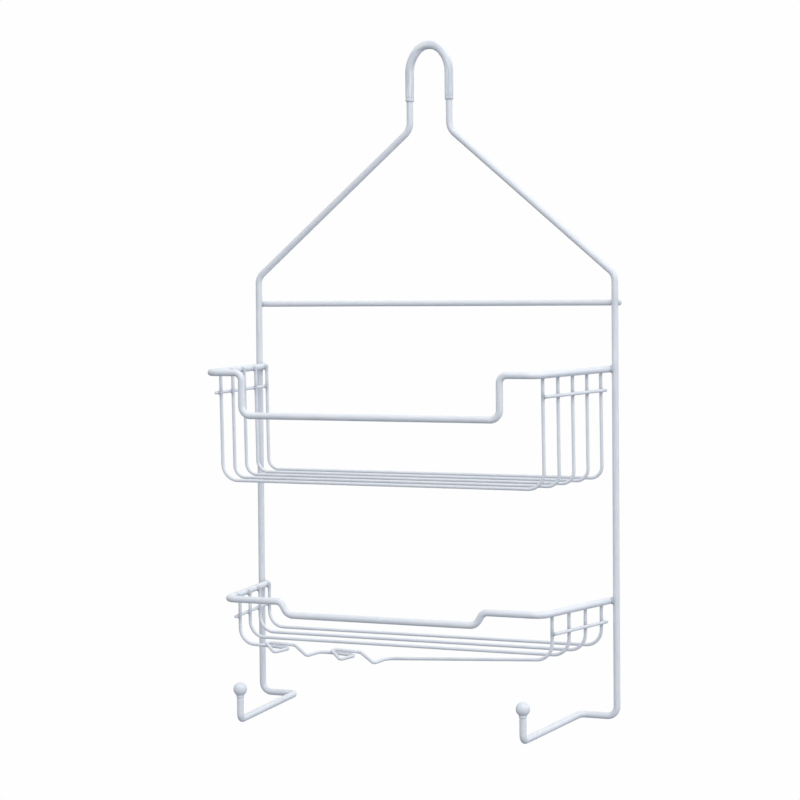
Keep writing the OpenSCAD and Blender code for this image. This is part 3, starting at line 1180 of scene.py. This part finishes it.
@dataclass(frozen=True)
class BallCap:
    """A ball cap pushed onto a hook's upturned end.

    Args:
        frame: The main wire that carries it.
        side: Which hook.
        ball_r: Radius of the ball.
        bore_r: Radius of the blind bore.
        bore_top: Height of the bore's end above the ball's centre.
        neck_r: Radius of the neck's lower edge.
        neck_drop: Drop from the ball's centre to the neck's lower edge.
        leave: Angle from the top at which the ball runs into the neck, in degrees.
        pulls: How strongly the neck keeps the ball's slope and the wire's direction, in mm.
        edge_up: Heights above the neck's mouth at which its blunt edge starts and ends.
        edge_in: How far inside the neck's lower edge the blunt edge ends.
        mouth: Height over which the mouth runs into the bore.
        bore_dome: Height of the bore's end above its last ring.
    """

    frame: MainFrame
    side: Side
    ball_r: float = 5.0
    bore_r: float = 2.53
    bore_top: float = 1.2
    neck_r: float = 2.95
    neck_drop: float = 5.72
    leave: float = 138.0
    pulls: tuple[float, float] = (3.2, 2.6)
    edge_up: tuple[float, float] = (0.12, 0.02)
    edge_in: float = 0.1
    mouth: float = 0.4
    bore_dome: float = 0.1

    def surface(self, sides: int = 56, counts: tuple[int, int, int] = (34, 12, 6)) -> Surface:
        """The cap turned about the wire's axis.

        The ball's arc runs to the leaving angle. From there a cubic whose ends keep the ball's
        slope and the wire's direction forms the neck, and the profile turns up into the bore.

        Args:
            sides: Vertices in a ring.
            counts: Profile points on the ball, the neck and the bore.

        Returns:
            The closed surface.
        """
        on_ball, on_neck, on_bore = counts
        a = np.radians(np.linspace(0, self.leave, on_ball))
        ball = np.stack([self.ball_r * np.sin(a), self.ball_r * np.cos(a)], axis=1)
        foot, (edge_high, edge_low) = -self.neck_drop, self.edge_up
        start, end = ball[-1], np.array([self.neck_r, foot + edge_high])
        slope = np.array([math.cos(a[-1]), -math.sin(a[-1])]) * self.pulls[0]
        stop = np.array([0.0, -self.pulls[1]])
        t = np.linspace(0, 1, on_neck)[1:, None]
        neck = (2 * t**3 - 3 * t**2 + 1) * start + (t**3 - 2 * t**2 + t) * slope
        neck = neck + (3 * t**2 - 2 * t**3) * end + (t**3 - t**2) * stop
        edge = np.array([[self.neck_r - self.edge_in, foot + edge_low], [self.bore_r, foot]])
        up = np.linspace(foot + self.mouth, self.bore_top, on_bore)
        bore = np.stack([np.full_like(up, self.bore_r), up], axis=1)
        profile = np.vstack([ball, neck, edge, bore, [[0.0, self.bore_top + self.bore_dome]]])
        return revolved(self.frame.ball(self.side), profile[:, 0], profile[:, 1], sides)

    def build(self, shop: Workshop) -> None:
        """Makes the cap."""
        side = self.side.name.lower()
        shop.piece(f"hook_ball_{side}", self.surface(), Slot.CAP, [f"ball_tip_{side}"])


@dataclass(frozen=True)
class Basket:
    """A welded wire basket: a rim with a lowered front, basket wires and a brace on each side.

    Args:
        frame: The main wire that it is welded to.
        name: What its pieces and CAD nodes start with.
        seed: Number that shifts the coats' waves.
        rim_z: Height of the rim's back.
        depth: Depth of the rim in front of the uprights.
        taper: Angle by which each arm closes in towards the front, in degrees.
        rise: Rise of the rim's front above its back.
        tall: Height of the basket, from its rim's back to its floor.
        dip: Drop of the middle of the rim's front.
        dip_inset: Distance from the rim's corner to the middle of that drop.
        dip_slope: Steepness of the drop, in degrees.
        dip_bends: Bend radii at the top and the foot of the drop.
        wire_inset: Distance from the rim's front back to the first basket wire.
        lean: How far the floor stands behind the rim.
        count: How many basket wires.
        thin_r: Radius of the basket wires and braces.
        rim_corner_r: Bend radius of the rim's corners.
        corner_r: Bend radius of the front basket wire.
        back_corner_r: Bend radius of the basket wires behind it.
        back_y: Place of the last basket wire.
        stand: How far a basket wire's tip stands above the rim's centreline.
        brace_drop: How far the braces hang below the rim.
        brace_over: How far a brace runs past its last wire at one end.
        weld_fills: Ball radius of the welds at the uprights, the rim and the braces.
        shade_reaches: Reach of the welds' painted shade on the rim, the basket wires and the braces.
        brace_seed: What is added to the seed for the braces.
    """

    frame: MainFrame
    name: str
    seed: int
    rim_z: float
    depth: float
    taper: float
    rise: float
    tall: float
    dip: float
    dip_inset: float
    dip_slope: float
    dip_bends: tuple[float, float]
    wire_inset: float
    lean: float
    count: int
    thin_r: float = 1.25
    rim_corner_r: float = 9.0
    corner_r: float = 12.0
    back_corner_r: float = 12.0
    back_y: float = -6.3
    stand: float = 1.6
    brace_drop: float = 15.3
    brace_over: float = 3.3
    weld_fills: tuple[float, float, float] = (1.5, 1.05, 0.9)
    shade_reaches: tuple[float, float, float] = (2.3, 3.5, 1.8)
    brace_seed: int = 20

    @property
    def floor_z(self) -> float:
        """Height of the floor wires' centreline."""
        return self.rim_z - self.tall

    def rim_half(self, y: float) -> float:
        """Half the width between the rim's arms.

        Args:
            y: Place along the arms, less than 0 in front of the uprights.

        Returns:
            The distance from the middle to an arm's centreline.
        """
        a, wire_r = math.radians(self.taper), self.frame.wire_r
        back = self.frame.half - (2 * wire_r - self.frame.weld_bite) / math.cos(a)
        return back + y * math.tan(a)

    def wire_half(self, y: float) -> float:
        """Half the width between the sides of the basket wire at a place."""
        inside = self.frame.wire_r + self.thin_r - self.frame.weld_bite
        return self.rim_half(y) - inside / math.cos(math.radians(self.taper))

    def wire_y(self, number: int) -> float:
        """Place of a basket wire, counting from 1 at the front."""
        front = self.wire_inset - self.depth
        return front + (self.back_y - front) * (number - 1) / (self.count - 1)

    def arm_z(self, y: float) -> float:
        """Height of the rim's arm at a place."""
        return self.rim_z - self.rise * y / self.depth

    def rim_route(self) -> Route:
        """The rim's centreline.

        Returns:
            The route from behind the left upright round the front to behind the right one.
        """
        front_half, back_y = self.rim_half(-self.depth), self.frame.wire_r
        front_z = self.rim_z + self.rise
        dip_x = front_half - self.dip_inset
        run = self.dip / math.tan(math.radians(self.dip_slope)) / 2
        left = [
            (-self.rim_half(back_y), back_y, self.arm_z(back_y)),
            (-front_half, -self.depth, front_z),
            (-dip_x - run, -self.depth, front_z),
            (-dip_x + run, -self.depth, front_z - self.dip),
        ]
        left_r = (0.0, self.rim_corner_r, *self.dip_bends)
        return Route(both_sides(left), (*left_r, *reversed(left_r)))

    def wire_route(self, number: int) -> Route:
        """A basket wire's centreline.

        Args:
            number: Which wire, counting from 1 at the front.

        Returns:
            The route down the left side, across the floor and up the right side.
        """
        y = self.wire_y(number)
        half, arm_z = self.wire_half(y), self.arm_z(y)
        slope = self.lean / (arm_z - self.floor_z)
        left = [
            (-half, y - slope * self.stand, arm_z + self.stand),
            (-half, y + self.lean, self.floor_z),
        ]
        bend = self.corner_r if number == 1 else self.back_corner_r
        return Route(both_sides(left), (0.0, bend, bend, 0.0))

    def brace_route(self, side: Side) -> Route:
        """The centreline of a brace.

        Args:
            side: Which side's basket wires it lies outside.

        Returns:
            One straight run from front to back.
        """
        left = side is Side.LEFT
        front = self.wire_y(1) - self.thin_r - (self.brace_over if left else 0.0)
        back = self.wire_y(self.count) + self.thin_r + (0.0 if left else self.brace_over)
        out = (2 * self.thin_r - self.frame.weld_bite) / math.cos(math.radians(self.taper))
        ends = tuple(
            (side.value * (self.wire_half(y) + out), y, self.arm_z(y) - self.brace_drop)
            for y in (front, back)
        )
        return Route(ends, (0.0, 0.0))

    def rim_welds(self) -> list[Weld]:
        """The welds of the rim's arms to the uprights.

        Returns:
            The left weld and the right one.
        """
        rim, r = self.rim_route(), self.frame.wire_r
        found = []
        for side, run in ((Side.LEFT, 0), (Side.RIGHT, -1)):
            upright, fill = self.frame.upright(side), self.weld_fills[0]
            found.append(Weld.between(upright, rim.run(run), (r, r), fill, (0, 1, 0)))
        return found

    def wire_welds(self) -> list[Weld]:
        """The welds of the basket wires to the rim's arms and to the braces.

        Returns:
            Each wire's welds in turn: left rim, left brace, right rim and right brace.
        """
        rim, thick, thin = self.rim_route(), self.frame.wire_r, self.thin_r
        _, rim_fill, brace_fill = self.weld_fills
        found = []
        for number in range(1, self.count + 1):
            route = self.wire_route(number)
            for side, run in ((Side.LEFT, 0), (Side.RIGHT, -1)):
                leg, brace = route.run(run), self.brace_route(side).run(0)
                found.append(Weld.between(rim.run(run), leg, (thick, thin), rim_fill, (0, 0, 1)))
                tip = self.brace_tip(number, side)
                found.append(Weld.between(leg, brace, (thin, thin), brace_fill, tip))
        return found

    def brace_tip(self, number: int, side: Side) -> Optional[Point]:
        """Direction in which a brace ends flush with a basket wire, if it does there.

        Args:
            number: The basket wire's number.
            side: The brace's side.

        Returns:
            The direction, or None where the brace runs on.
        """
        if number == 1 and side is Side.RIGHT:
            return (0, -1, 0)
        if number == self.count and side is Side.LEFT:
            return (0, 1, 0)
        return None

    def thin_wire(self, route: Route, number: int) -> Surface:
        """The skin of a basket wire or a brace.

        Args:
            route: Its centreline.
            number: What is added to the basket's seed.

        Returns:
            The closed surface.
        """
        return Wire(route, self.thin_r, self.seed + number, sides=24, step=2.0).surface()

    def build(self, shop: Workshop) -> None:
        """Makes the rim, the basket wires, the braces and their welds.

        Args:
            shop: Makes the pieces.
        """
        name, (rim_reach, wire_reach, brace_reach) = self.name, self.shade_reaches
        at_rim, at_wires = self.rim_welds(), self.wire_welds()
        rim = Wire(self.rim_route(), self.frame.wire_r, self.seed, sides=32).surface()
        # painted shade near the welds, on the rim here and on each basket wire and brace below
        rim.with_painted_shade([*at_rim, *at_wires[0::2]], rim_reach)
        shop.piece(f"{name}_rim_wire", rim, Slot.WIRE, [f"{name}_rim"])
        for number in range(1, self.count + 1):
            wire = self.thin_wire(self.wire_route(number), number)
            wire.with_painted_shade(at_wires[4 * number - 4 : 4 * number], wire_reach)
            shop.piece(f"{name}_basket_wire_{number}", wire, Slot.WIRE, [f"{name}_wire_{number}"])
        for side in Side:
            place = side.name.lower()
            brace = self.thin_wire(self.brace_route(side), self.brace_seed + side.value)
            brace.with_painted_shade(at_wires[1::2], brace_reach)
            shop.piece(f"{name}_brace_wire_{place}", brace, Slot.WIRE, [f"{name}_brace_{place}"])
        webs = [w.surface() for w in (*at_rim, *at_wires)]
        shop.piece(f"{name}_welds", Surface.joined(webs), Slot.WIRE)


@dataclass(frozen=True)
class RazorBasket(Basket):
    """The lower basket, whose front wire bends forward into two pairs of razor loops.

    In each pair the first loop closes on itself: the wire goes out at its right side, comes back
    on a slant and passes over itself, then runs on to the second, open loop.

    Args:
        pitch: Distance between the points of neighbouring loops.
        reach: How far the loops stand forward of the front wire.
        start: Distance from the left bend to the first loop.
        sag: How far the front wire sags at its lowest place.
        low_back: How far that place is short of where a fifth loop's wire would come back.
        tilt: How much lower the front wire's left end is than its middle.
        gap: Clear gap where the wire passes over itself.
        flat: Length of the run between a pair's two loops.
        tip_shift: Shift of a closed loop's point from where its wire comes back.
        leans: Shift of a closed and of an open loop's straight side from its point.
        loop_bends: Bend radii of a pair, in order along the wire.
    """

    pitch: float = 26.5
    reach: float = 20.4
    start: float = 8.8
    sag: float = 5.7
    low_back: float = 10.0
    tilt: float = 0.8
    gap: float = 0.2
    flat: float = 24.4
    tip_shift: float = 17.4
    leans: tuple[float, float] = (3.2, 1.0)
    loop_bends: tuple[float, ...] = (4.2, 1.6, 2.6, 6.0, 1.6, 6.0)

    def front_z(self, x: float) -> float:
        """Height of the sagging front wire.

        Args:
            x: Place across the caddy.

        Returns:
            The height of the wire's centreline there.
        """
        half = self.wire_half(self.wire_y(1))
        first = -half + self.corner_r + self.start
        low = first + 4 * self.pitch - self.low_back
        span = low + half if x < low else half - low
        return self.floor_z - self.sag * (1 - abs(x - low) / span) + self.tilt * x / half

    def pair(self, x: float) -> list[Point]:
        """Corners of one pair of loops.

        Args:
            x: Where the closed loop's wire comes back.

        Returns:
            The corners in order along the wire.
        """
        y, over = self.wire_y(1), 2 * self.thin_r + self.gap
        closed, opened = x + self.tip_shift, x + self.tip_shift + self.pitch
        spots = [
            (closed + self.leans[0], 0.0, 0.0),
            (closed, self.reach, 0.0),
            (x, 0.0, over),
            (x + self.flat, 0.0, over),
            (opened, self.reach, 0.0),
            (opened + self.leans[1], 0.0, 0.0),
        ]
        return [(px, y - forward, self.front_z(px) + up) for px, forward, up in spots]

    def wire_route(self, number: int) -> Route:
        """A basket wire's centreline. The first carries the razor loops.

        Args:
            number: Which wire, counting from 1 at the front.

        Returns:
            The route from its left tip to its right tip.
        """
        if number > 1:
            return super().wire_route(number)
        y = self.wire_y(1)
        half, top = self.wire_half(y), self.arm_z(y) + self.stand
        first = -half + self.corner_r + self.start
        corners = [
            (-half, y, top),
            (-half, y, self.front_z(-half)),
            *self.pair(first),
            *self.pair(first + 2 * self.pitch),
            (half, y, self.front_z(half)),
            (half, y, top),
        ]
        bends = (0.0, self.corner_r, *self.loop_bends, *self.loop_bends, self.corner_r, 0.0)
        return Route(tuple(corners), bends)


# ---------------------------------------------------------------- studio


@dataclass(frozen=True)
class Softbox:
    """A square area light.

    Args:
        name: Its name.
        place: Its place, in metres.
        size: Its side, in metres.
        power: Its power, in watts.
    """

    name: str
    place: Point
    size: float
    power: float

    def build(self, aim: Point) -> None:
        """Adds the light.

        Args:
            aim: The point that it faces, in metres.
        """
        data = bpy.data.lights.new(self.name, "AREA")
        data.shape, data.size, data.energy = "SQUARE", self.size, self.power
        data.color = (1.0, 1.0, 1.0)
        made = bpy.data.objects.new(self.name, data)
        bpy.context.scene.collection.objects.link(made)
        made.location = self.place
        way = Vector(aim) - Vector(self.place)
        made.rotation_euler = way.to_track_quat("-Z", "Y").to_euler()


@dataclass(frozen=True)
class Studio:
    """A pale floor and backdrop, a sky that is brighter above, two softboxes and the camera.

    Args:
        backdrop: Grey of the floor and of what the camera sees behind the caddy.
        sky: Colour of the light from above.
        ground: Colour of the light from below.
        dim_way: Direction towards which the sky falls off.
        dim_range: The light's strength opposite to that direction and along it.
        dusk: Heights of a ray's direction between which the ground turns into the sky.
        softboxes: The lights.
        aim: The point that they face, in metres.
        floor_z: Height of the floor, in metres.
        floor_half: Half the floor's width, in metres.
        camera_place: Place of the camera, in metres.
        camera_turn: Angle by which it stands round from the front, in degrees.
        camera_dip: Angle by which it looks down, in degrees.
        camera_roll: Angle by which it is rolled, in degrees.
        lens: Focal length, in mm.
        sensor: Width of the camera's sensor, in mm.
        shift: Shift of the frame across and up, as shares of its width.
    """

    backdrop: float = 0.991
    sky: Colour = (0.925, 0.96, 0.995)
    ground: Colour = (0.265, 0.292, 0.345)
    dim_way: Point = (-0.927, -0.375, 0.0)
    dim_range: tuple[float, float] = (1.22, 0.62)
    dusk: tuple[float, float] = (-0.45, 0.35)
    softboxes: tuple[Softbox, ...] = (
        Softbox("overhead", (0.25, -0.4, 1.2), 1.4, 3.2),
        Softbox("front", (0.75, -1.25, 0.45), 1.0, 5.2),
    )
    aim: Point = (0.0, 0.0, -0.25)
    floor_z: float = -0.95
    floor_half: float = 60.0
    camera_place: Point = (0.6194, -1.4885, -0.1773)
    camera_turn: float = 22.0
    camera_dip: float = 1.785
    camera_roll: float = -0.438
    lens: float = 96.29
    sensor: float = 36.0
    shift: tuple[float, float] = (-0.0669, -0.06)

    def world(self) -> None:
        """Lights the caddy from a sky that is dimmer below and to one side, before white."""
        world = bpy.data.worlds.new("studio")
        bpy.context.scene.world = world
        world.use_nodes = True
        tree = world.node_tree
        tree.nodes.clear()
        place = tree.nodes.new("ShaderNodeTexCoord")
        apart = tree.nodes.new("ShaderNodeSeparateXYZ")
        tree.links.new(place.outputs["Generated"], apart.inputs["Vector"])
        height = tree.nodes.new("ShaderNodeMapRange")
        height.interpolation_type = "SMOOTHSTEP"
        height.inputs["From Min"].default_value = self.dusk[0]
        height.inputs["From Max"].default_value = self.dusk[1]
        tree.links.new(apart.outputs["Z"], height.inputs["Value"])
        tint = tree.nodes.new("ShaderNodeMix")
        tint.data_type = "RGBA"
        colours = [s for s in tint.inputs if s.type == "RGBA"]
        colours[0].default_value = (*self.ground, 1.0)
        colours[1].default_value = (*self.sky, 1.0)
        tree.links.new(height.outputs["Result"], tint.inputs["Factor"])
        light = tree.nodes.new("ShaderNodeBackground")
        tree.links.new(next(s for s in tint.outputs if s.type == "RGBA"), light.inputs["Color"])
        facing = tree.nodes.new("ShaderNodeVectorMath")
        facing.operation = "DOT_PRODUCT"
        facing.inputs[1].default_value = self.dim_way
        tree.links.new(place.outputs["Generated"], facing.inputs[0])
        dim = tree.nodes.new("ShaderNodeMapRange")
        dim.inputs["From Min"].default_value = -1.0
        dim.inputs["To Min"].default_value = self.dim_range[0]
        dim.inputs["To Max"].default_value = self.dim_range[1]
        tree.links.new(facing.outputs["Value"], dim.inputs["Value"])
        tree.links.new(dim.outputs["Result"], light.inputs["Strength"])
        seen = tree.nodes.new("ShaderNodeBackground")
        seen.inputs["Color"].default_value = (self.backdrop,) * 3 + (1.0,)
        ray = tree.nodes.new("ShaderNodeLightPath")
        choose = tree.nodes.new("ShaderNodeMixShader")
        tree.links.new(ray.outputs["Is Camera Ray"], choose.inputs["Fac"])
        tree.links.new(light.outputs["Background"], choose.inputs[1])
        tree.links.new(seen.outputs["Background"], choose.inputs[2])
        out = tree.nodes.new("ShaderNodeOutputWorld")
        tree.links.new(choose.outputs["Shader"], out.inputs["Surface"])

    def floor(self) -> None:
        """A wide pale floor well below the caddy, which doesn't throw light back up."""
        mesh = bpy.data.meshes.new("floor")
        wide, z = self.floor_half, self.floor_z
        corners = [(-wide, -wide, z), (wide, -wide, z), (wide, wide, z), (-wide, wide, z)]
        mesh.from_pydata(corners, [], [(0, 1, 2, 3)])
        made = bpy.data.objects.new("floor", mesh)
        bpy.context.scene.collection.objects.link(made)
        paint = bpy.data.materials.new("floor_white")
        paint.use_nodes = True
        tree = paint.node_tree
        tree.nodes.clear()
        glow = tree.nodes.new("ShaderNodeEmission")
        glow.inputs["Color"].default_value = (self.backdrop,) * 3 + (1.0,)
        out = tree.nodes.new("ShaderNodeOutputMaterial")
        tree.links.new(glow.outputs["Emission"], out.inputs["Surface"])
        mesh.materials.append(paint)
        made.visible_diffuse = False
        made.visible_glossy = False
        made.visible_transmission = False

    def camera(self) -> None:
        """Puts the camera where the caddy is seen from the front, a little to its right."""
        data = bpy.data.cameras.new("camera")
        data.sensor_width, data.lens = self.sensor, self.lens
        data.shift_x, data.shift_y = self.shift
        data.clip_start, data.clip_end = 0.05, 200.0
        made = bpy.data.objects.new("camera", data)
        bpy.context.scene.collection.objects.link(made)
        turn = Matrix.Rotation(math.radians(self.camera_turn), 4, "Z")
        tilt = Matrix.Rotation(math.radians(90 - self.camera_dip), 4, "X")
        roll = Matrix.Rotation(math.radians(self.camera_roll), 4, "Z")
        made.matrix_world = Matrix.Translation(self.camera_place) @ turn @ tilt @ roll
        bpy.context.scene.camera = made

    def build(self) -> None:
        """Makes the sky, the floor, the lights and the camera."""
        view = bpy.context.scene.view_settings
        view.view_transform, view.look = "Standard", "None"
        self.world()
        self.floor()
        for softbox in self.softboxes:
            softbox.build(self.aim)
        self.camera()


def main() -> None:
    """Builds the caddy and its studio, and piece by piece."""
    logging.basicConfig(level=logging.INFO, format="%(name)s: %(message)s")
    shop = Workshop(
        {
            Slot.WIRE: DippedVinyl().material(),
            Slot.SLEEVE: CloudyTube().material(),
            Slot.CAP: MouldedCap().material(),
        }
    )
    main_frame = MainFrame()
    upper = Basket(
        frame=main_frame,
        name="upper",
        seed=40,
        rim_z=main_frame.sleeve_r - main_frame.upper_rim_drop,
        depth=118.0,
        taper=6.5,
        rise=0.0,
        tall=79.6,
        dip=30.8,
        dip_inset=27.3,
        dip_slope=90.0,
        dip_bends=(5.5, 7.0),
        wire_inset=16.5,
        lean=2.4,
        count=5,
        back_corner_r=9.0,
    )
    lower = RazorBasket(
        frame=main_frame,
        name="lower",
        seed=70,
        rim_z=main_frame.hook_z + main_frame.lower_rim_rise,
        depth=99.5,
        taper=9.75,
        rise=2.5,
        tall=32.4,
        dip=9.6,
        dip_inset=46.8,
        dip_slope=60.0,
        dip_bends=(6.0, 8.0),
        wire_inset=20.5,
        lean=0.0,
        count=4,
    )
    main_frame.build(shop, [*upper.rim_welds(), *lower.rim_welds()])
    HookSleeve(main_frame).build(shop)
    for side in Side:
        BallCap(main_frame, side).build(shop)
    upper.build(shop)
    lower.build(shop)
    Studio().build()
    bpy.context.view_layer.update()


if __name__ == "__main__":
    main()
